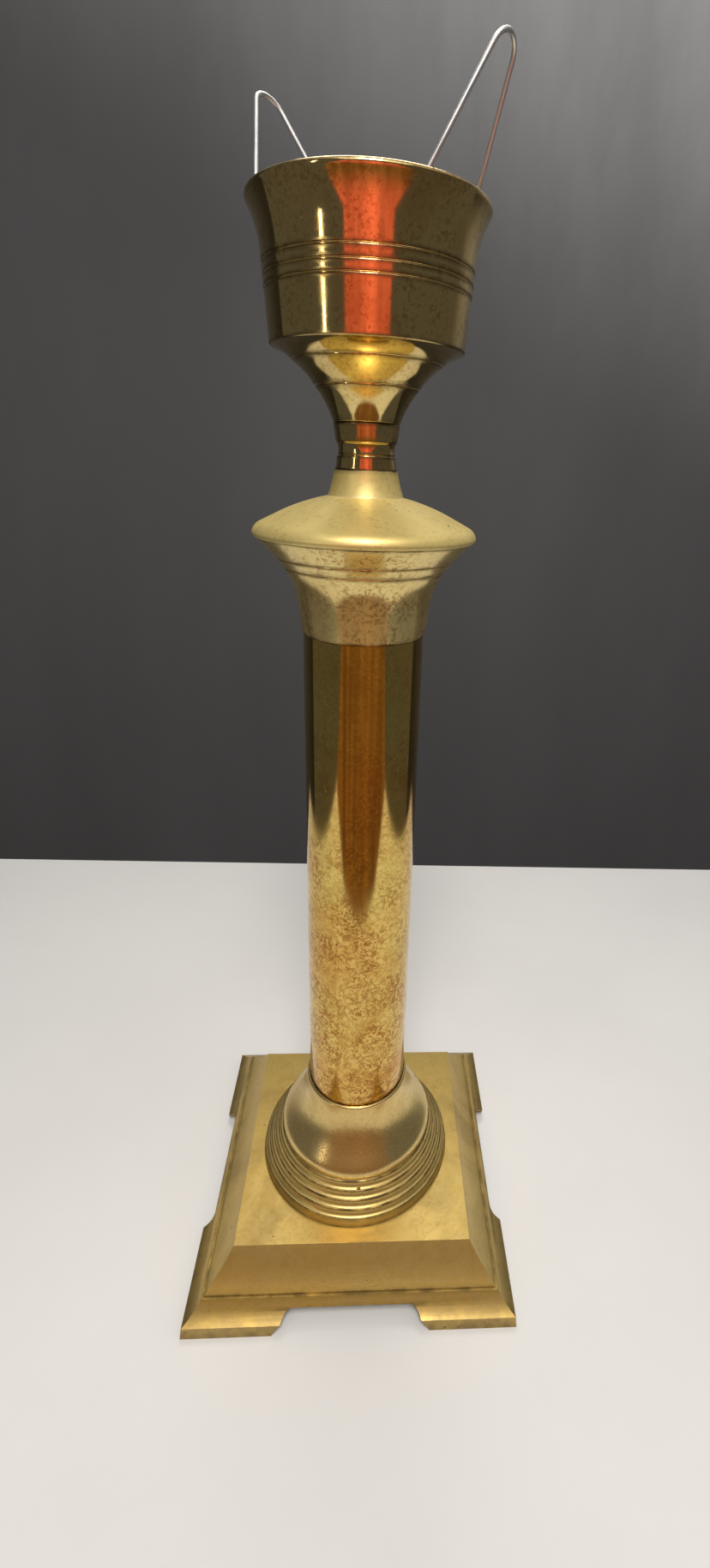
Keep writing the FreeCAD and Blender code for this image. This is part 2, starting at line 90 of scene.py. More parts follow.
def blendColor(tree, amount, first, second):
    node = add(tree, "ShaderNodeMix", data_type="RGBA", clamp_factor=True)
    for label, value in (("amount", amount), ("first", first), ("second", second)):
        socket = node.inputs[mixSockets[label]]
        if isinstance(value, bpy.types.NodeSocket):
            tree.links.new(value, socket)
        else:
            socket.default_value = (*value, 1.0)
    return node.outputs[mixSockets["result"]]


def emptyMaterial(name):
    material = bpy.data.materials.new(name)
    material.use_nodes = True
    material.node_tree.nodes.clear()
    return material, material.node_tree


def newMaterial(name):
    material, tree = emptyMaterial(name)
    shader = add(tree, "ShaderNodeBsdfPrincipled")
    add(tree, "ShaderNodeOutputMaterial", {"Surface": shader.outputs[0]})
    return material, tree, shader


# coordinates scaled along each axis: a small share stretches a noise, and none flattens it
def scaledPlace(tree, place, shares):
    return add(tree, "ShaderNodeVectorMath", {0: place, 1: shares}, operation="MULTIPLY").outputs[0]


# distance from the axis and height, so that fine turning marks run round a piece
def turningPlace(tree, place):
    flat = scaledPlace(tree, place, (1.0, 1.0, 0.0))
    radius = add(tree, "ShaderNodeVectorMath", {0: flat}, operation="LENGTH").outputs["Value"]
    height = add(tree, "ShaderNodeSeparateXYZ", {0: place}).outputs["Z"]
    joined = add(tree, "ShaderNodeCombineXYZ", {"X": radius, "Z": height})
    return joined.outputs[0], height


# metals: cast and turned brass, then the steel of wires, rod and nuts

def brassMaterial(name, look):
    material, tree, shader = newMaterial(name)
    place = add(tree, "ShaderNodeTexCoord").outputs["Object"]
    ringPlace, height = turningPlace(tree, place)
    edge = add(tree, "ShaderNodeAttribute", attribute_name="edge", attribute_type="GEOMETRY").outputs["Fac"]

    # clouds of tarnish, a second tint, then finer squiggles in crowds that may fade with height
    clouds = noise(tree, place, look["cloudScale"], detail=5.0, roughness=0.6, distortion=0.6)
    tarnish = between(tree, clouds, look["cloudLow"], look["cloudHigh"], 0.0, look["tarnish"])
    color = blendColor(tree, tarnish, look["clean"], look["tarnished"])
    patches = noise(tree, place, look["tintScale"], detail=3.0)
    tint = between(tree, patches, look["tintLow"], look["tintHigh"], 0.0, look["tint"])
    color = blendColor(tree, tint, color, look["tintColor"])
    twist = look["speckTwist"]
    squiggle = noise(tree, place, look["speckScale"], detail=6.0, roughness=0.62, distortion=twist)
    specks = between(tree, squiggle, look["speckLow"], look["speckHigh"], 0.0, look["specks"])
    crowds = noise(tree, place, look["speckScale"] * look["crowdShare"], detail=3.0)
    crowd = between(tree, crowds, look["crowdLow"], look["crowdHigh"], look["speckSparse"], 1.0)
    specks = maths(tree, "MULTIPLY", specks, crowd)
    if "speckTop" in look:
        fade = between(tree, height, look["speckBottom"], look["speckTop"], 1.0, look["speckLeft"])
        specks = maths(tree, "MULTIPLY", specks, fade)
    color = blendColor(tree, specks, color, look["speckColor"])

    # dark dirt in the hollows, bright rubbed edges
    uneven = noise(tree, place, look["unevenScale"], detail=4.0)
    patchy = between(tree, uneven, low=0.3, high=0.65, start=0.35, end=1.0)
    dirt = maths(tree, "MULTIPLY", maths(tree, "MULTIPLY", edge, -look["dirt"], clamp=True), patchy)
    rubbed = maths(tree, "MULTIPLY", maths(tree, "MULTIPLY", edge, look["rub"], clamp=True), patchy)
    color = blendColor(tree, dirt, color, look["darkColor"])
    color = blendColor(tree, rubbed, color, look["rubbed"])

    # darker towards the bottom: below a given height the colour is blended towards the dark colour
    if "darkeningTop" in look:
        lowDarkening = between(tree, height, 0.0, look["darkeningTop"], look["lowDarkening"], 0.0)
        lowDarkening = maths(tree, "MULTIPLY", lowDarkening, patchy)
        color = blendColor(tree, lowDarkening, color, look["darkColor"])

    # small dark pits
    pitNoise = noise(tree, place, look["pitScale"], detail=2.0, roughness=0.4)
    pits = between(tree, pitNoise, look["pitLow"], look["pitLow"] + look["pitSpread"])
    color = blendColor(tree, maths(tree, "MULTIPLY", pits, look["pitDark"]), color, look["darkColor"])

    # roughness: tarnish, specks, dirt and pits are duller, and turning lines vary it
    lines = noise(tree, ringPlace, look["lineScale"], detail=3.0, roughness=0.7)
    grain = noise(tree, place, look["grainScale"], detail=5.0, roughness=0.65)
    gloss = maths(tree, "MULTIPLY_ADD", tarnish, look["tarnishDull"])
    gloss.node.inputs[2].default_value = look["roughness"]
    gloss = maths(tree, "ADD", gloss, maths(tree, "MULTIPLY", specks, look["speckDull"]))
    gloss = maths(tree, "ADD", gloss, maths(tree, "MULTIPLY", dirt, look["dirtDull"]))
    gloss = maths(tree, "ADD", gloss, between(tree, lines, low=0.35, high=0.65, end=look["lineDull"]))
    gloss = maths(tree, "ADD", gloss, between(tree, pits, 0.0, 1.0, end=look["pitDull"]), clamp=True)

    # fine casting grain, turning lines, then the pits
    inputs = {"Height": grain, "Strength": look["grain"], "Distance": look["grainHeight"]}
    bump = add(tree, "ShaderNodeBump", inputs)
    inputs = {"Height": lines, "Strength": look["lines"], "Distance": look["lineHeight"],
              "Normal": bump.outputs[0]}
    bump = add(tree, "ShaderNodeBump", inputs)
    inputs = {"Height": pits, "Strength": look["pitDepth"], "Distance": look["pitHeight"],
              "Normal": bump.outputs[0]}
    bump = add(tree, "ShaderNodeBump", inputs, invert=True)

    tree.links.new(color, shader.inputs["Base Color"])
    tree.links.new(gloss, shader.inputs["Roughness"])
    tree.links.new(bump.outputs[0], shader.inputs["Normal"])
    shader.inputs["Metallic"].default_value = look["metallic"]
    return material


# what every polished brass piece shares
polished = {
    "clean": (0.80, 0.58, 0.24), "tarnished": (0.55, 0.34, 0.11), "rubbed": (0.95, 0.78, 0.44),
    "cloudScale": 24.0, "cloudLow": 0.42, "cloudHigh": 0.68, "tarnish": 0.6,
    "tintScale": 9.0, "tintLow": 0.42, "tintHigh": 0.62, "tint": 0.3, "tintColor": (0.66, 0.60, 0.24),
    "speckScale": 700.0, "speckTwist": 0.4, "speckLow": 0.48, "speckHigh": 0.62, "specks": 0.4,
    "speckColor": (0.40, 0.21, 0.06), "speckDull": 0.10, "speckSparse": 0.25,
    "crowdShare": 0.16, "crowdLow": 0.36, "crowdHigh": 0.6,
    "unevenScale": 160.0, "dirt": 1.0, "darkColor": (0.06, 0.04, 0.02), "dirtDull": 0.3, "rub": 0.9,
    "pitScale": 460.0, "pitLow": 0.76, "pitSpread": 0.04, "pitDark": 0.75, "pitDull": 0.3,
    "pitDepth": 0.2, "pitHeight": 0.3 * mm,
    "lineScale": 2600.0, "lines": 0.12, "lineDull": 0.03, "lineHeight": 0.05 * mm,
    "grainScale": 1500.0, "grain": 0.05, "grainHeight": 0.1 * mm,
    "roughness": 0.06, "tarnishDull": 0.08, "metallic": 1.0,
}

# what every satin casting shares
satin = dict(polished)
satin.update({
    "clean": (0.64, 0.49, 0.18), "tarnished": (0.46, 0.34, 0.12), "rubbed": (0.86, 0.70, 0.36),
    "cloudScale": 34.0, "tarnish": 0.65, "tint": 0.35, "tintColor": (0.54, 0.42, 0.14),
    "speckScale": 520.0, "specks": 0.3, "speckColor": (0.34, 0.23, 0.08), "speckSparse": 0.1,
    "pitScale": 360.0, "pitLow": 0.74, "pitDepth": 0.5,
    "lineScale": 1500.0, "lines": 0.25, "lineDull": 0.06,
    "grainScale": 1100.0, "grain": 0.25,
    "roughness": 0.36, "tarnishDull": 0.08, "metallic": 0.72,
})

pieceLooks = {
    "castBrass": dict(
        satin, clean=(0.60, 0.41, 0.105), tarnished=(0.42, 0.28, 0.075), tarnish=0.8, metallic=0.88,
        darkColor=(0.13, 0.085, 0.03), dirt=1.1, rub=0.3, darkeningTop=15.0 * mm, lowDarkening=0.7, lines=0.0),
    "turnedSatinBrass": dict(
        satin, clean=(0.97, 0.77, 0.29), tarnished=(0.74, 0.56, 0.19), metallic=0.5),
    "ringBrass": dict(
        satin, clean=(0.64, 0.46, 0.15), roughness=0.3, metallic=0.85, dirt=1.1, rub=0.8),
    "footBrass": dict(
        polished, clean=(0.78, 0.58, 0.24), tarnished=(0.56, 0.40, 0.15), tarnish=0.8,
        roughness=0.24, metallic=0.93, specks=0.25),
    "columnBrass": dict(
        polished, clean=(0.80, 0.54, 0.16), tarnished=(0.62, 0.33, 0.07), tarnish=0.85, roughness=0.05,
        cloudScale=34.0, tint=0.4, tintScale=16.0, tintColor=(0.74, 0.66, 0.20),
        specks=1.0, speckLow=0.41, speckHigh=0.59, speckScale=480.0, speckTwist=1.2, speckSparse=0.5,
        speckColor=(0.38, 0.17, 0.033), speckBottom=170.0 * mm, speckTop=310.0 * mm, speckLeft=0.3),
    "capitalBrass": dict(
        polished, clean=(0.97, 0.75, 0.31), roughness=0.16, metallic=0.75, specks=0.8, speckLow=0.45),
    "neckBrass": dict(
        polished, clean=(0.72, 0.48, 0.20)),
    "cupBrass": dict(
        polished, specks=0.6, tint=0.35),
    "linerBrass": dict(
        satin, clean=(0.56, 0.42, 0.20), roughness=0.42),
}


def steelMaterial(name, look):
    material, tree, shader = newMaterial(name)
    place = add(tree, "ShaderNodeTexCoord").outputs["Object"]
    clouds = noise(tree, place, look["cloudScale"], detail=4.0)
    amount = between(tree, clouds, low=0.4, high=0.7)
    color = blendColor(tree, amount, look["clean"], look["dull"])
    gloss = between(tree, clouds, low=0.35, high=0.7, start=look["roughness"], end=look["dullRoughness"])
    grain = noise(tree, place, look["grainScale"], detail=3.0)
    inputs = {"Height": grain, "Strength": look["grain"], "Distance": look["grainHeight"]}
    bump = add(tree, "ShaderNodeBump", inputs)
    tree.links.new(color, shader.inputs["Base Color"])
    tree.links.new(gloss, shader.inputs["Roughness"])
    tree.links.new(bump.outputs[0], shader.inputs["Normal"])
    shader.inputs["Metallic"].default_value = 1.0
    return material


steelLooks = {
    "wireSteel": {
        "clean": (0.93, 0.93, 0.92), "dull": (0.76, 0.75, 0.73), "cloudScale": 90.0,
        "roughness": 0.34, "dullRoughness": 0.49,
        "grainScale": 1800.0, "grain": 0.15, "grainHeight": 0.04 * mm},
    "zincSteel": {
        "clean": (0.62, 0.63, 0.62), "dull": (0.40, 0.39, 0.36), "cloudScale": 160.0,
        "roughness": 0.35, "dullRoughness": 0.5,
        "grainScale": 900.0, "grain": 0.15, "grainHeight": 0.04 * mm},
}

materials = {name: brassMaterial(name, look) for name, look in pieceLooks.items()}
for name, look in steelLooks.items():
    materials[name] = steelMaterial(name, look)
print("metals ready:", len(materials))


# turned pieces: the profile is read from the CAD piece, its corners are eased, and a node
# tree turns it round the axis

turning = {
    "segments": 192,            # steps in a full turn
    "mostFaces": 90000,         # a piece with a long profile is turned in fewer steps
    "ease": 0.2 * mm,           # radius left on the corners
    "leastEase": 0.05 * mm,
    "easeShare": 0.4,           # of the shorter side, at most
    "easeSteps": 4,
    "cornerAngle": 18.0,        # a sharper bend than this is a corner
    "gentleAngle": 0.8,         # a bend between this and a corner lies on a curve
    "longerBeside": 2.5,        # a side this much longer than its neighbour ends a curve
    "smoothAngle": 34.0,
    "wornAngle": 60.0,          # a corner this sharp is fully worn or dirty
    "fade": ((0.35 * mm, 0.5), (1.1 * mm, 0.0)),    # how that wear or dirt dies away
    "fadeShare": 0.45,          # of the side that it dies away on, at most
    "closest": 0.004 * mm,      # nearer points of a profile are one
    "merge": 0.001 * mm,        # nearer points of a turned piece are one
    "onPlane": 0.0001 * mm,     # how near the cutting plane counts as on it
    "offAxis": 0.001 * mm,      # how far from the axis a profile's line starts to count
}


# the section of a CAD piece with the half plane through its axis, as one chain of points
def sectionOf(node):
    work = bmesh.new()
    work.from_mesh(nodes[node].data)
    bmesh.ops.remove_doubles(work, verts=work.verts, dist=turning["onPlane"])
    everything = work.verts[:] + work.edges[:] + work.faces[:]
    cut = bmesh.ops.bisect_plane(
        work, geom=everything, dist=turning["onPlane"], plane_co=(0, 0, 0), plane_no=(0, 1, 0))
    joined = {}
    for edge in cut["geom_cut"]:
        if not isinstance(edge, bmesh.types.BMEdge):
            continue
        first, second = edge.verts
        inner, outer = sorted((first.co.x, second.co.x))
        if inner < -turning["onPlane"] or outer < turning["offAxis"]:
            continue
        joined.setdefault(first, []).append(second)
        joined.setdefault(second, []).append(first)
    ends = [v for v in joined if len(joined[v]) == 1]
    start = min(ends, key=lambda v: v.co.z) if ends else max(joined, key=lambda v: (v.co.x, v.co.z))
    chain, seen = [start], {start}
    while True:
        ahead = [v for v in joined[chain[-1]] if v not in seen]
        if not ahead:
            break
        chain.append(ahead[0])
        seen.add(ahead[0])
    points = [Vector((v.co.x, v.co.z)) for v in chain]
    work.free()
    return points, not ends


def signedArea(points):
    return sum(a.x * b.y - b.x * a.y for a, b in zip(points, points[1:] + points[:1])) / 2


def bendAt(points, index, closed):
    count = len(points)
    if not closed and index in (0, count - 1):
        return 0.0
    back = points[index] - points[index - 1]
    ahead = points[(index + 1) % count] - points[index]
    return math.degrees(back.angle_signed(ahead, 0.0))


# a place between first and second, on the smooth curve through all four points
def onCurve(before, first, second, after, share):
    square, cube = share ** 2, share ** 3
    return 0.5 * (
        2 * first + (second - before) * share
        + (2 * before - 5 * first + 4 * second - after) * square
        + (3 * first - before - 3 * second + after) * cube)


# adds points on gentle curves, where the CAD piece has flats too long for polished metal
def refined(points, closed):
    count = len(points)
    bends = [abs(bendAt(points, i, closed)) for i in range(count)]
    gentle = [turning["gentleAngle"] < bend < turning["cornerAngle"] for bend in bends]
    made = []
    for i in range(count):
        made.append(points[i])
        ahead = (i + 1) % count
        if not closed and i in (0, count - 2, count - 1):
            continue
        if not (gentle[i] and gentle[ahead]):
            continue
        before, first, second, after = points[i - 1], points[i], points[ahead], points[(i + 2) % count]
        beside = max((first - before).length, (after - second).length)
        if beside > turning["longerBeside"] * (second - first).length:
            continue
        made += [onCurve(before, first, second, after, share) for share in (1 / 3, 2 / 3)]
    return made


# eased corners; each point carries how much it is an outer edge (+) or a hollow (-)
def easedProfile(node):
    points, closed = sectionOf(node)
    if signedArea(points) < 0:
        points.reverse()
    points = [p for i, p in enumerate(points) if (p - points[i - 1]).length > turning["closest"]]
    points = refined(points, closed)
    count = len(points)
    made = []
    for i, point in enumerate(points):
        bend = bendAt(points, i, closed)
        if abs(bend) < turning["cornerAngle"]:
            made.append((point, 0.0))
            continue
        back = points[i - 1] - point
        ahead = points[(i + 1) % count] - point
        wanted = turning["ease"] * math.tan(math.radians(abs(bend)) / 2) + turning["leastEase"]
        reach = min(wanted, turning["easeShare"] * back.length, turning["easeShare"] * ahead.length)
        worn = max(-1.0, min(1.0, bend / turning["wornAngle"]))
        for distance, share in reversed(turning["fade"]):
            if distance < turning["fadeShare"] * back.length:
                made.append((point + back.normalized() * distance, worn * share))
        first, last = point + back.normalized() * reach, point + ahead.normalized() * reach
        for step in range(turning["easeSteps"] + 1):
            share = step / turning["easeSteps"]
            place = first * (1 - share) ** 2 + point * 2 * share * (1 - share) + last * share ** 2
            made.append((place, worn))
        for distance, share in turning["fade"]:
            if distance < turning["fadeShare"] * ahead.length:
                made.append((point + ahead.normalized() * distance, worn * share))
    kept = [made[0]]
    for place, worn in made[1:]:
        if (place - kept[-1][0]).length > turning["closest"]:
            kept.append((place, worn))
    return kept, closed


def newTree(name, sockets):
    tree = bpy.data.node_groups.new(name, "GeometryNodeTree")
    ids = {}
    for label, kind in sockets:
        socket = tree.interface.new_socket(label, in_out="INPUT", socket_type=kind)
        ids[label] = socket.identifier
    tree.interface.new_socket("Piece", in_out="OUTPUT", socket_type="NodeSocketGeometry")
    tree.is_modifier = True
    return tree, ids, add(tree, "NodeGroupInput"), add(tree, "NodeGroupOutput")


# every tree ends the same way: smooth faces, sharp corners kept, one real mesh, one metal
def finishTree(tree, given, result, geometry):
    inputs = {"Geometry": geometry, "Shade Smooth": True}
    smooth = add(tree, "GeometryNodeSetShadeSmooth", inputs, domain="FACE")
    angle = add(tree, "GeometryNodeInputMeshEdgeAngle").outputs["Unsigned Angle"]
    sharp = add(tree, "FunctionNodeCompare", {0: angle, 1: given.outputs["Smooth Angle"]},
                data_type="FLOAT", operation="GREATER_THAN")
    inputs = {"Geometry": smooth.outputs[0], "Selection": sharp.outputs[0], "Shade Smooth": False}
    edges = add(tree, "GeometryNodeSetShadeSmooth", inputs, domain="EDGE")
    real = add(tree, "GeometryNodeRealizeInstances", {"Geometry": edges.outputs[0]})
    inputs = {"Geometry": real.outputs[0], "Material": given.outputs["Metal"]}
    metal = add(tree, "GeometryNodeSetMaterial", inputs)
    tree.links.new(metal.outputs[0], result.inputs[0])


def buildTurningTree():
    sockets = (("Profile", "NodeSocketGeometry"), ("Rows", "NodeSocketInt"), ("Segments", "NodeSocketInt"),
               ("Smooth Angle", "NodeSocketFloat"), ("Metal", "NodeSocketMaterial"))
    tree, ids, given, result = newTree("turned_piece", sockets)
    profile = given.outputs["Profile"]
    size = add(tree, "GeometryNodeAttributeDomainSize", {0: profile}, component="MESH")
    count = size.outputs["Point Count"]
    rows, segments = given.outputs["Rows"], given.outputs["Segments"]
    rowSpan = maths(tree, "SUBTRACT", rows, 1.0)
    inputs = {"Size X": rowSpan, "Size Y": segments, "Vertices X": rows,
              "Vertices Y": maths(tree, "ADD", segments, 1.0)}
    grid = add(tree, "GeometryNodeMeshGrid", inputs)
    place = add(tree, "ShaderNodeSeparateXYZ", {0: add(tree, "GeometryNodeInputPosition").outputs[0]})
    row = maths(tree, "ADD", maths(tree, "MULTIPLY", rowSpan, 0.5), place.outputs["X"])
    row = maths(tree, "MODULO", maths(tree, "FLOOR", maths(tree, "ADD", row, 0.5)), count)
    step = maths(tree, "ADD", maths(tree, "MULTIPLY", segments, 0.5), place.outputs["Y"])
    step = maths(tree, "MODULO", maths(tree, "FLOOR", maths(tree, "ADD", step, 0.5)), segments)
    angle = maths(tree, "MULTIPLY", maths(tree, "DIVIDE", step, segments), 2 * math.pi)

    worn = add(tree, "GeometryNodeInputNamedAttribute", {"Name": "edge"}, data_type="FLOAT").outputs[0]
    inputs = {"Geometry": profile, "Value": worn, "Index": row}
    edge = add(tree, "GeometryNodeSampleIndex", inputs, data_type="FLOAT", domain="POINT")
    inputs = {"Geometry": grid.outputs[0], "Name": "edge", "Value": edge.outputs[0]}
    marked = add(tree, "GeometryNodeStoreNamedAttribute", inputs, data_type="FLOAT", domain="POINT")
    inputs = {"Geometry": profile, "Value": add(tree, "GeometryNodeInputPosition").outputs[0], "Index": row}
    point = add(tree, "GeometryNodeSampleIndex", inputs, data_type="FLOAT_VECTOR", domain="POINT")
    inputs = {"Vector": point.outputs[0], "Angle": angle}
    turned = add(tree, "ShaderNodeVectorRotate", inputs, rotation_type="Z_AXIS")
    inputs = {"Geometry": marked.outputs[0], "Position": turned.outputs[0]}
    moved = add(tree, "GeometryNodeSetPosition", inputs)
    inputs = {"Geometry": moved.outputs[0], "Distance": turning["merge"]}
    whole = add(tree, "GeometryNodeMergeByDistance", inputs)
    finishTree(tree, given, result, whole.outputs[0])
    return tree, ids


# the mesh that an object's modifiers make; the object itself goes
def madeMesh(source, name):
    bpy.context.view_layer.update()
    graph = bpy.context.evaluated_depsgraph_get()
    shaped = source.evaluated_get(graph)
    mesh = bpy.data.meshes.new_from_object(shaped, preserve_all_data_layers=True, depsgraph=graph)
    bpy.data.objects.remove(source)
    mesh.name = name
    return mesh


# runs a node tree on a starting mesh
def plainMesh(start, tree, ids, values, name):
    source = bpy.data.objects.new(start.name, start)
    modifier = source.modifiers.new("shape", "NODES")
    modifier.node_group = tree
    for label, value in values.items():
        modifier[ids[label]] = value
    bpy.context.scene.collection.objects.link(source)
    return madeMesh(source, name)


# a finished piece rides on its body in place of its CAD node
def keepPiece(name, mesh, body, replaced):
    piece = bpy.data.objects.new(name, mesh)
    bpy.context.scene.collection.objects.link(piece)
    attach(piece, body)
    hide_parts(replaced)


turnedPieces = {
    "stepped_ring": {"name": "steppedRing", "metal": "ringBrass", "slot": "cast_brass", "body": "stand"},
    "column_foot": {"name": "columnFoot", "metal": "footBrass", "slot": "polished_brass", "body": "stand"},
    "column_tube": {"name": "columnTube", "metal": "columnBrass", "slot": "polished_brass", "body": "stand"},
    "capital": {"name": "trumpetCapital", "metal": "capitalBrass", "slot": "polished_brass", "body": "stand"},
    "domed_disc": {"name": "domedDisc", "metal": "turnedSatinBrass", "slot": "cast_brass", "body": "stand"},
    "neck_collar": {"name": "neckCollar", "metal": "neckBrass", "slot": "polished_brass", "body": "stand"},
    "candle_cup": {"name": "candleCup", "metal": "cupBrass", "slot": "polished_brass", "body": "stand"},
    "liner": {"name": "candleLiner", "metal": "linerBrass", "slot": "liner_brass", "body": "liner"},
}

turningTree, turningIds = buildTurningTree()
for node, piece in turnedPieces.items():
    profile, closed = easedProfile(node)
    count = len(profile)
    outline = bpy.data.meshes.new(piece["name"] + "Profile")
    chain = [(i, i + 1) for i in range(count - 1)]
    outline.from_pydata([(p.x, 0.0, p.y) for p, worn in profile], chain, [])
    marks = outline.attributes.new("edge", "FLOAT", "POINT")
    marks.data.foreach_set("value", [worn for p, worn in profile])
    segments = min(turning["segments"], turning["mostFaces"] // count)
    values = {"Rows": count + (1 if closed else 0), "Segments": segments,
              "Smooth Angle": math.radians(turning["smoothAngle"]), "Metal": materials[piece["metal"]]}
    mesh = plainMesh(outline, turningTree, turningIds, values, piece["name"])
    keepPiece(piece["name"], mesh, piece["body"], node)
    print("turned", piece["name"], "rows", count, "faces", len(mesh.polygons))


# the square casting: the CAD piece with eased edges that know where they are worn or dirty

casting = {
    "easing": 0.5 * mm, "steps": 4,
    "angle": 24.0,              # a sharper edge than this is eased
    "flat": 0.4,                # faces that bend less than this are one
    "merge": 0.002 * mm,
    "normalWeight": 80,
    "wornBend": 0.35,           # an edge that bends this many radians is fully worn or dirty
    "hollow": -0.3,             # dirt spreads from points marked lower than this
    "dirty": -0.6,
    "dirtReach": 2.0 * mm,
}


def makeCasting():
    work = bmesh.new()
    work.from_mesh(nodes["base_casting"].data)
    bmesh.ops.remove_doubles(work, verts=work.verts, dist=casting["merge"])
    flat = math.radians(casting["flat"])
    bmesh.ops.dissolve_limit(work, angle_limit=flat, verts=work.verts, edges=work.edges)
    mesh = bpy.data.meshes.new("squareBase")
    work.to_mesh(mesh)
    work.free()
    mesh.materials.clear()
    mesh.materials.append(materials["castBrass"])
    mesh.shade_smooth()
    source = bpy.data.objects.new("squareBaseSource", mesh)
    bpy.context.scene.collection.objects.link(source)
    easing = source.modifiers.new("easing", "BEVEL")
    easing.width = casting["easing"]
    easing.segments = casting["steps"]
    easing.limit_method = "ANGLE"
    easing.angle_limit = math.radians(casting["angle"])
    easing.miter_outer = "MITER_ARC"
    easing.use_clamp_overlap = True
    normals = source.modifiers.new("normals", "WEIGHTED_NORMAL")
    normals.mode = "FACE_AREA"
    normals.weight = casting["normalWeight"]
    done = madeMesh(source, "squareBase")
    markEdges(done)
    return done


# outer edges get +, inner corners -, by the bend of the faces round each point, and the dirt
# spreads from the inner corners
def markEdges(mesh):
    work = bmesh.new()
    work.from_mesh(mesh)
    marks = [0.0] * len(work.verts)
    for edge in work.edges:
        bend = edge.calc_face_angle_signed(0.0)
        for vertex in edge.verts:
            if abs(bend) > abs(marks[vertex.index]):
                marks[vertex.index] = bend
    work.free()
    marks = [max(-1.0, min(1.0, bend / casting["wornBend"])) for bend in marks]
    tree = KDTree(len(marks))
    for vertex in mesh.vertices:
        tree.insert(vertex.co, vertex.index)
    tree.balance()
    hollows = [i for i, mark in enumerate(marks) if mark < casting["hollow"]]
    for i in hollows:
        for place, near, distance in tree.find_range(mesh.vertices[i].co, casting["dirtReach"]):
            marks[near] = min(marks[near], casting["dirty"])
    mesh.attributes.new("edge", "FLOAT", "POINT").data.foreach_set("value", marks)


castingMesh = makeCasting()
keepPiece("squareBase", castingMesh, "stand", "base_casting")
print("casting faces", len(castingMesh.polygons))


# the two wire loops: a node tree rounds the corners of a path and gives it a round section;
# the wire, its lean and its bends are those of the CAD loops

wire = {
    "radius": 0.8 * mm, "lean": 26.0, "footBend": 2.4 * mm, "shoulderBend": 8.0 * mm, "topBend": 6.4 * mm,
    "endGap": 1.5 * mm, "hingeBelowRim": 5.9 * mm, "sides": 20, "bendSteps": 14, "smoothAngle": 40.0,
}

bails = {
    "left_bail": {"name": "leftBailWire", "joint": "left_bail_swing"},
    "right_bail": {"name": "rightBailWire", "joint": "right_bail_swing"},
}


def buildWireTree():
    sockets = (("Path", "NodeSocketGeometry"), ("Wire Radius", "NodeSocketFloat"), ("Sides", "NodeSocketInt"),
               ("Bend Steps", "NodeSocketInt"), ("Smooth Angle", "NodeSocketFloat"),
               ("Metal", "NodeSocketMaterial"))
    tree, ids, given, result = newTree("bent_wire", sockets)
    path = add(tree, "GeometryNodeMeshToCurve", {0: given.outputs["Path"]})
    bend = add(tree, "GeometryNodeInputNamedAttribute", {"Name": "bend"}, data_type="FLOAT").outputs[0]
    inputs = {"Curve": path.outputs[0], "Radius": bend, "Count": given.outputs["Bend Steps"]}
    rounded = add(tree, "GeometryNodeFilletCurve", inputs, mode="POLY")
    inputs = {"Resolution": given.outputs["Sides"], "Radius": given.outputs["Wire Radius"]}
    section = add(tree, "GeometryNodeCurvePrimitiveCircle", inputs, mode="RADIUS")
    inputs = {"Curve": rounded.outputs[0], "Profile Curve": section.outputs["Curve"], "Fill Caps": True}
    body = add(tree, "GeometryNodeCurveToMesh", inputs)
    finishTree(tree, given, result, body.outputs[0])
    return tree, ids


# the same loop as the CAD piece: its width and reach are measured from that piece
def bailPath(node, joint):
    pivot = Vector(joint["pos_m"])
    across = Vector(joint["axis"])
    out = Vector((0, 0, 1)).cross(across)
    lean = math.radians(wire["lean"])
    upward = Vector((0, 0, 1)) * math.cos(lean) + out * math.sin(lean)
    places = [v.co - pivot for v in nodes[node].data.vertices]
    halfWidth = max(p.dot(across) for p in places) - wire["radius"]
    reach = max(p.dot(upward) for p in places) - wire["radius"]
    shoulder = wire["hingeBelowRim"] / math.cos(lean)
    centre = reach - shoulder - wire["topBend"]
    slant = math.atan2(halfWidth, centre) - math.asin(wire["topBend"] / math.hypot(halfWidth, centre))
    meeting = shoulder + halfWidth / math.tan(slant)
    side = [(wire["endGap"], 0, 0),
            (halfWidth, 0, wire["footBend"]),
            (halfWidth, shoulder, wire["shoulderBend"])]
    marks = side + [(0, meeting, wire["topBend"])] + [(-x, rise, bend) for x, rise, bend in reversed(side)]
    points = [pivot + across * x + upward * rise for x, rise, bend in marks]
    return points, [bend for x, rise, bend in marks]


wireTree, wireIds = buildWireTree()
for node, bail in bails.items():
    points, bends = bailPath(node, joints[bail["joint"]])
    path = bpy.data.meshes.new(bail["name"] + "Path")
    path.from_pydata(points, [(i, i + 1) for i in range(len(points) - 1)], [])
    path.attributes.new("bend", "FLOAT", "POINT").data.foreach_set("value", bends)
    values = {"Wire Radius": wire["radius"], "Sides": wire["sides"], "Bend Steps": wire["bendSteps"],
              "Smooth Angle": math.radians(wire["smoothAngle"]), "Metal": materials["wireSteel"]}
    mesh = plainMesh(path, wireTree, wireIds, values, bail["name"])
    keepPiece(bail["name"], mesh, node, node)
    print("wire", bail["name"], "faces", len(mesh.polygons))


# the rod: a plain core and shank with a cut thread at each end, all made inside the node tree,
# which starts from an empty mesh

rod = {
    "pitch": 1.25 * mm, "threadLength": 26 * mm, "threadDepth": 0.77 * mm, "sides": 48, "smoothAngle": 30.0,
    "ridgeShare": 0.56,         # the three-sided ridge's radius as a share of the pitch
}


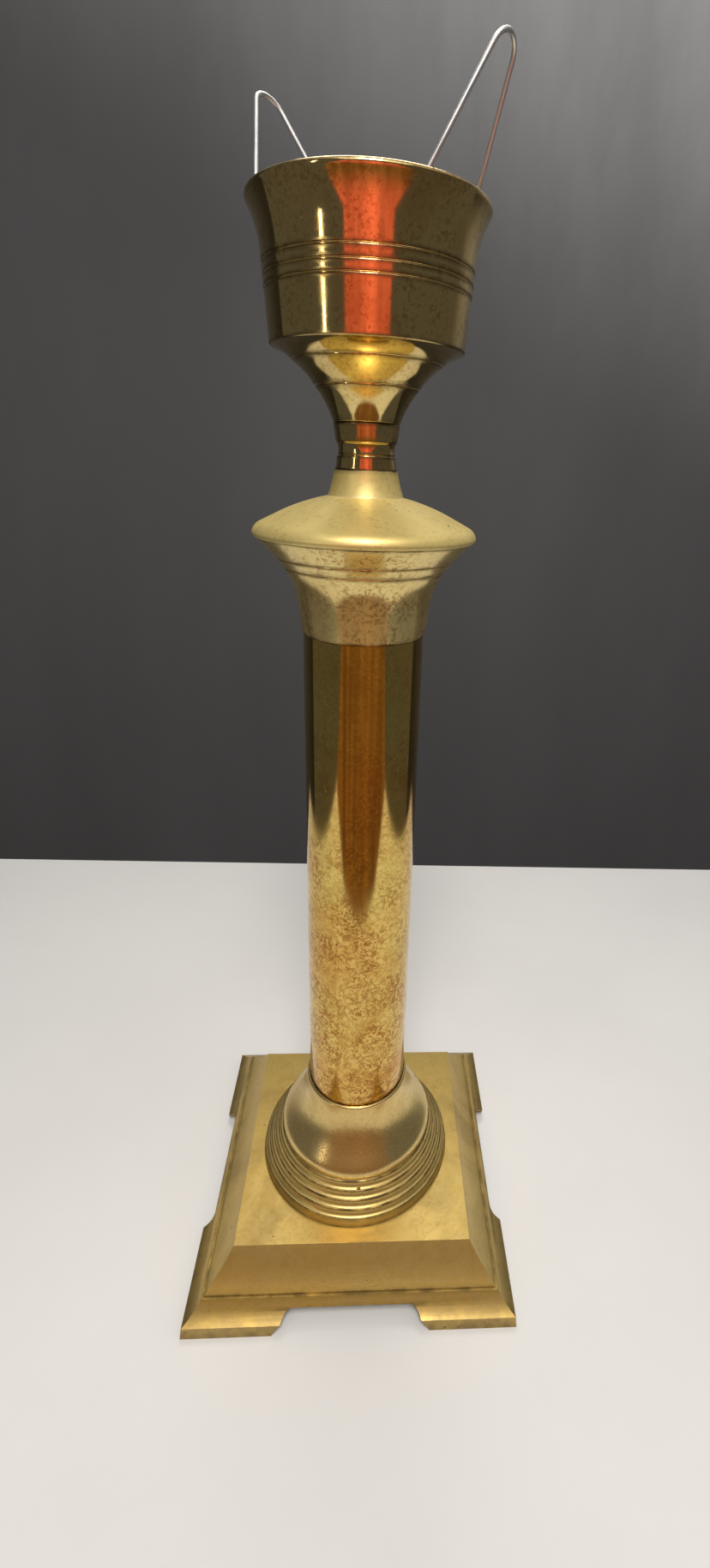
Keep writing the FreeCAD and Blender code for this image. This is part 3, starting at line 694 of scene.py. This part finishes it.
def buildRodTree():
    sockets = (("Start", "NodeSocketGeometry"), ("Radius", "NodeSocketFloat"), ("Bottom", "NodeSocketFloat"),
               ("Top", "NodeSocketFloat"), ("Thread Length", "NodeSocketFloat"), ("Pitch", "NodeSocketFloat"),
               ("Thread Depth", "NodeSocketFloat"), ("Sides", "NodeSocketInt"),
               ("Smooth Angle", "NodeSocketFloat"), ("Metal", "NodeSocketMaterial"))
    tree, ids, given, result = newTree("threaded_rod", sockets)
    value = given.outputs
    coreRadius = maths(tree, "SUBTRACT", value["Radius"], value["Thread Depth"])
    everything = add(tree, "GeometryNodeJoinGeometry")

    def upright(bottom, top, radius):
        height = maths(tree, "SUBTRACT", top, bottom)
        middle = maths(tree, "MULTIPLY", maths(tree, "ADD", bottom, top), 0.5)
        inputs = {"Vertices": value["Sides"], "Radius": radius, "Depth": height}
        column = add(tree, "GeometryNodeMeshCylinder", inputs)
        shift = add(tree, "ShaderNodeCombineXYZ", {"Z": middle}).outputs[0]
        moved = add(tree, "GeometryNodeTransform", {"Geometry": column.outputs["Mesh"], "Translation": shift})
        tree.links.new(moved.outputs[0], everything.inputs[0])

    lowThread = maths(tree, "ADD", value["Bottom"], value["Thread Length"])
    highThread = maths(tree, "SUBTRACT", value["Top"], value["Thread Length"])
    upright(value["Bottom"], value["Top"], coreRadius)
    upright(lowThread, highThread, value["Radius"])
    turns = maths(tree, "DIVIDE", value["Thread Length"], value["Pitch"])
    ridgeRadius = maths(tree, "MULTIPLY", value["Pitch"], rod["ridgeShare"])
    inputs = {"Resolution": 3, "Radius": ridgeRadius}
    ridge = add(tree, "GeometryNodeCurvePrimitiveCircle", inputs, mode="RADIUS")
    helixRadius = maths(tree, "SUBTRACT", value["Radius"], ridgeRadius)
    inputs = {"Resolution": value["Sides"], "Rotations": turns, "Start Radius": helixRadius,
              "End Radius": helixRadius, "Height": value["Thread Length"]}
    spiral = add(tree, "GeometryNodeCurveSpiral", inputs)
    helix = add(tree, "GeometryNodeCurveToMesh",
                {"Curve": spiral.outputs[0], "Profile Curve": ridge.outputs["Curve"], "Fill Caps": True})
    for bottom in (value["Bottom"], highThread):
        shift = add(tree, "ShaderNodeCombineXYZ", {"Z": bottom}).outputs[0]
        moved = add(tree, "GeometryNodeTransform", {"Geometry": helix.outputs[0], "Translation": shift})
        tree.links.new(moved.outputs[0], everything.inputs[0])
    finishTree(tree, given, result, everything.outputs[0])
    return tree, ids


rodTree, rodIds = buildRodTree()
low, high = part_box("tie_rod")
values = {"Radius": high.x, "Bottom": low.z, "Top": high.z, "Thread Length": rod["threadLength"],
          "Pitch": rod["pitch"], "Thread Depth": rod["threadDepth"], "Sides": rod["sides"],
          "Smooth Angle": math.radians(rod["smoothAngle"]), "Metal": materials["zincSteel"]}
rodMesh = plainMesh(bpy.data.meshes.new("rodSource"), rodTree, rodIds, values, "threadedRod")
keepPiece("threadedRod", rodMesh, "stand", "tie_rod")
print("rod faces", len(rodMesh.polygons))


# the CAD pieces that stay as they are get their metal

stays = {
    "zincSteel": ("base_washer", "base_spring_washer", "base_nut", "cup_washer", "cup_nut"),
    "linerBrass": ("left_bail_lug", "right_bail_lug", "lug_rivets"),
}
for metal, names in stays.items():
    for name in names:
        nodes[name].data.materials.clear()
        nodes[name].data.materials.append(materials[metal])


# the pale board, the dark wall behind it, the warm card, the lamps and the camera

board = {
    "halfWidth": 0.42, "front": -0.48, "back": 0.332, "turn": -0.9,
    "color": (0.82, 0.805, 0.79), "shade": 0.96, "cloudScale": 6.0, "roughness": 0.55,
}
wall = {
    "distance": 0.92, "halfWidth": 2.6, "low": -1.6, "high": 2.4,
    "color": (0.115, 0.113, 0.116), "lit": (0.72, 0.72, 0.73), "litFrom": 0.58, "litTo": 1.5, "slant": 0.45,
    "streakScale": 3.0, "streaks": 0.35, "streakShade": 0.6, "roughness": 0.8,
}


def shaded(color, share):
    return tuple(channel * share for channel in color)


def makePlane(name, corners, material):
    mesh = bpy.data.meshes.new(name)
    mesh.from_pydata(corners, [], [tuple(range(len(corners)))])
    mesh.materials.append(material)
    plane = bpy.data.objects.new(name, mesh)
    bpy.context.scene.collection.objects.link(plane)
    return plane


def boardMaterial():
    material, tree, shader = newMaterial("paleBoard")
    place = add(tree, "ShaderNodeTexCoord").outputs["Object"]
    clouds = noise(tree, place, board["cloudScale"], detail=5.0, roughness=0.6)
    amount = between(tree, clouds, low=0.3, high=0.7)
    color = blendColor(tree, amount, board["color"], shaded(board["color"], board["shade"]))
    tree.links.new(color, shader.inputs["Base Color"])
    shader.inputs["Roughness"].default_value = board["roughness"]
    return material


# the dark wall is lighter towards its upper right, which is painted light, with faint upright streaks
def wallMaterial():
    material, tree, shader = newMaterial("charcoalWall")
    place = add(tree, "ShaderNodeTexCoord").outputs["Object"]
    parts = add(tree, "ShaderNodeSeparateXYZ", {0: place}).outputs
    # painted light: the colour rises to the lit colour up and towards the right
    rise = maths(tree, "ADD", parts["Z"], maths(tree, "MULTIPLY", parts["X"], wall["slant"]))
    lit = between(tree, rise, wall["litFrom"], wall["litTo"])
    upright = scaledPlace(tree, place, (1.0, 1.0, 0.3))
    clouds = noise(tree, upright, wall["streakScale"], detail=6.0, roughness=0.65)
    streaks = between(tree, clouds, low=0.3, high=0.7, end=wall["streaks"])
    color = blendColor(tree, lit, wall["color"], wall["lit"])
    color = blendColor(tree, streaks, color, shaded(wall["color"], wall["streakShade"]))
    tree.links.new(color, shader.inputs["Base Color"])
    shader.inputs["Roughness"].default_value = wall["roughness"]
    return material


# the four corners of a board or a wall, from its half width and its two other edges
def oblong(half, first, last):
    return (-half, first), (half, first), (half, last), (-half, last)


turn = Matrix.Rotation(math.radians(board["turn"]), 3, "Z")
floorEdges = oblong(board["halfWidth"], board["front"], board["back"])
makePlane("floor", [turn @ Vector((x, y, 0.0)) for x, y in floorEdges], boardMaterial())
wallEdges = oblong(wall["halfWidth"], wall["low"], wall["high"])
makePlane("backdrop", [(x, wall["distance"], z) for x, z in wallEdges], wallMaterial())

# seen only in the metal: a warm card in front, widest near its foot and narrow above, redder
# with height; each step is a height and a half width
warmCard = {
    "distance": -0.29, "steps": ((0.0, 0.17), (0.06, 0.32), (0.30, 0.21), (0.42, 0.12), (0.51, 0.12)),
    "low": (0.25, 0.12, 0.042), "high": (0.95, 0.21, 0.14), "lowEnd": 0.26, "highStart": 0.42,
    "foldScale": 16.0, "foldDark": 0.55, "foldLight": 1.35,
}


def makeWarmCard():
    material, tree = emptyMaterial("warmCard")
    place = add(tree, "ShaderNodeTexCoord").outputs["Object"]
    height = add(tree, "ShaderNodeSeparateXYZ", {0: place}).outputs["Z"]
    rising = between(tree, height, warmCard["lowEnd"], warmCard["highStart"])
    color = blendColor(tree, rising, warmCard["low"], warmCard["high"])
    upright = scaledPlace(tree, place, (1.0, 1.0, 0.12))
    clouds = noise(tree, upright, warmCard["foldScale"], detail=4.0, roughness=0.6)
    folds = between(tree, clouds, 0.3, 0.7, warmCard["foldDark"], warmCard["foldLight"])
    light = add(tree, "ShaderNodeEmission", {"Color": color, "Strength": folds})
    add(tree, "ShaderNodeOutputMaterial", {"Surface": light.outputs[0]})
    right = [(half, warmCard["distance"], z) for z, half in warmCard["steps"]]
    left = [(-x, y, z) for x, y, z in reversed(right)]
    card = makePlane("warmCard", right + left, material)
    card.visible_camera = False
    card.visible_diffuse = False
    card.visible_shadow = False


makeWarmCard()

lamps = {
    "ceiling": {
        "place": (0.5, -0.1, 2.2), "aim": (0.5, -0.1, 0), "size": (3.2, 3.2), "power": 12.0,
        "color": (1.0, 0.98, 0.96)},
    "backLamp": {
        "place": (0.0, 0.37, 0.98), "aim": (0, 0, 0.3), "size": (0.36, 0.3), "power": 2.0,
        "color": (1.0, 0.95, 0.87)},
    "frontLamp": {
        "place": (0.1, -1.1, 1.6), "aim": (0, 0, 0.1), "size": (1.5, 1.0), "power": 4.6,
        "color": (1.0, 0.99, 0.98)},
    "keyLamp": {
        "place": (0.01, -0.72, 1.42), "aim": (0, 0, 0.1), "size": (0.32, 0.45), "power": 12.0,
        "color": (1.0, 0.98, 0.94)},
    "rightFill": {
        "place": (1.3, -0.3, 0.9), "aim": (0, 0, 0.3), "size": (1.2, 1.2), "power": 2.4,
        "color": (1.0, 0.98, 0.96), "mirrored": False},
    "sideStrip": {
        "place": (-0.75, -0.70, 0.62), "aim": (0, 0, 0.45), "size": (0.035, 0.5), "power": 0.5,
        "color": (1.0, 0.93, 0.8)},
}
roomLight = (0.095, 0.092, 0.088, 1.0)


def makeLamp(name, lamp):
    light = bpy.data.lights.new(name, "AREA")
    light.shape = "RECTANGLE"
    light.size, light.size_y = lamp["size"]
    light.energy = lamp["power"]
    light.color = lamp["color"]
    item = bpy.data.objects.new(name, light)
    item.location = lamp["place"]
    toAim = Vector(lamp["aim"]) - Vector(lamp["place"])
    item.rotation_euler = toAim.to_track_quat("-Z", "Y").to_euler()
    item.visible_camera = False
    item.visible_glossy = lamp.get("mirrored", True)
    bpy.context.scene.collection.objects.link(item)


for name, lamp in lamps.items():
    makeLamp(name, lamp)

world = bpy.data.worlds.new("studio")
bpy.context.scene.world = world
world.use_nodes = True
background = world.node_tree.nodes["Background"]
background.inputs["Color"].default_value = roomLight
background.inputs["Strength"].default_value = 1.0
bpy.context.scene.view_settings.view_transform = "Standard"

eye = {
    "place": (0.0040, -0.2862, 0.396), "yaw": -3.99, "pitch": 21.04, "roll": 2.59,
    "lens": 15.727, "sensor": 36.0, "shiftX": -0.0388, "shiftY": -0.0375, "nearest": 0.01,
}


def makeEye():
    optics = bpy.data.cameras.new("eye")
    optics.lens = eye["lens"]
    optics.sensor_width = eye["sensor"]
    optics.shift_x = eye["shiftX"]
    optics.shift_y = eye["shiftY"]
    optics.clip_start = eye["nearest"]
    camera = bpy.data.objects.new("eye", optics)
    aim = (Matrix.Rotation(math.radians(eye["yaw"]), 4, "Z")
           @ Matrix.Rotation(math.radians(90.0 - eye["pitch"]), 4, "X")
           @ Matrix.Rotation(math.radians(eye["roll"]), 4, "Z"))
    camera.matrix_world = Matrix.Translation(eye["place"]) @ aim
    bpy.context.scene.collection.objects.link(camera)
    bpy.context.scene.camera = camera


makeEye()
print("stage ready")
